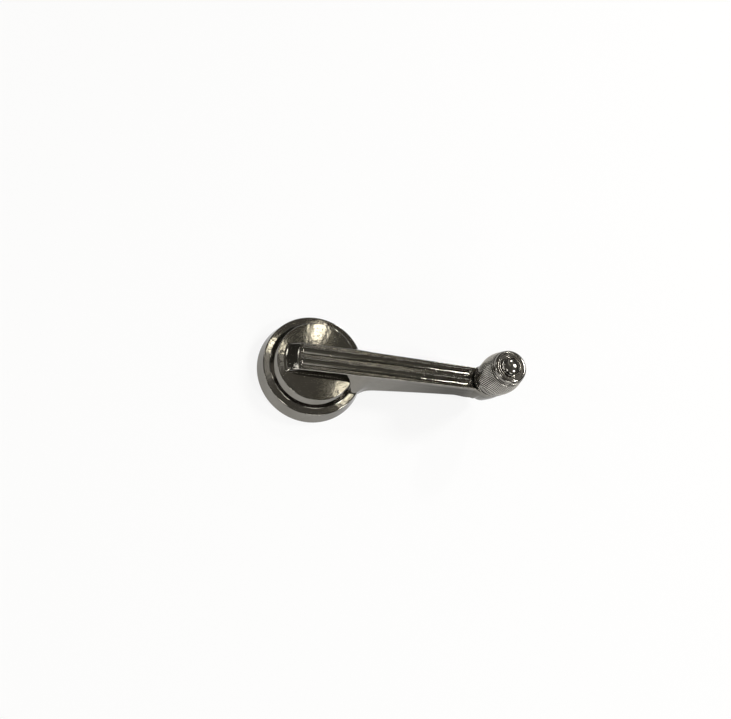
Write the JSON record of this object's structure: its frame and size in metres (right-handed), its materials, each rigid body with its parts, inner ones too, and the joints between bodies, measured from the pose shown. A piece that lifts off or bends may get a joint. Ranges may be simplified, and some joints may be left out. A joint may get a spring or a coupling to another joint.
{
  "type": "car window winder handle",
  "caption": "Chrome window winder handle: round stepped hub with a splined socket, fluted arm and a knurled knob that spins on its pin.",
  "frame": {"origin": "centre of the flat floor of the blind spindle socket, on the hub's axis", "axes": "+Z along the spindle, away from the door; +X along the arm towards the knob"},
  "size_m": [0.1326, 0.057, 0.0514],
  "materials": {
    "plated_casting": "bright chrome plate on a zinc casting, fine pits and haze",
    "plated_trim": "bright chrome plate",
    "plated_knurl": "chrome plate over a straight knurl",
    "bare_steel": "zinc-plated steel",
    "spring_steel": "dark oiled spring steel",
    "brass": "turned brass",
    "moulding": "moulded phenolic"
  },
  "bodies": {
    "handle": {"handle_casting": "plated_casting", "spline_sleeve": "bare_steel", "retaining_clip": "spring_steel", "pivot_pin": "plated_trim", "tail_washer": "bare_steel", "thrust_washer": "brass"},
    "knob": {"wave_washer": "spring_steel", "knob_bush": "brass", "knob_core": "moulding", "knob_base_ring": "plated_trim", "knurled_barrel": "plated_knurl", "bead_ring": "plated_trim", "knob_cap": "plated_trim", "head_washer": "bare_steel"}
  },
  "joints": [
    {"name": "knob_spin", "type": "hinge", "parent": "handle", "child": "knob", "pos_m": [0.0933, 0, 0.0266], "axis": [0, 0, 1], "continuous": true}
  ]
}
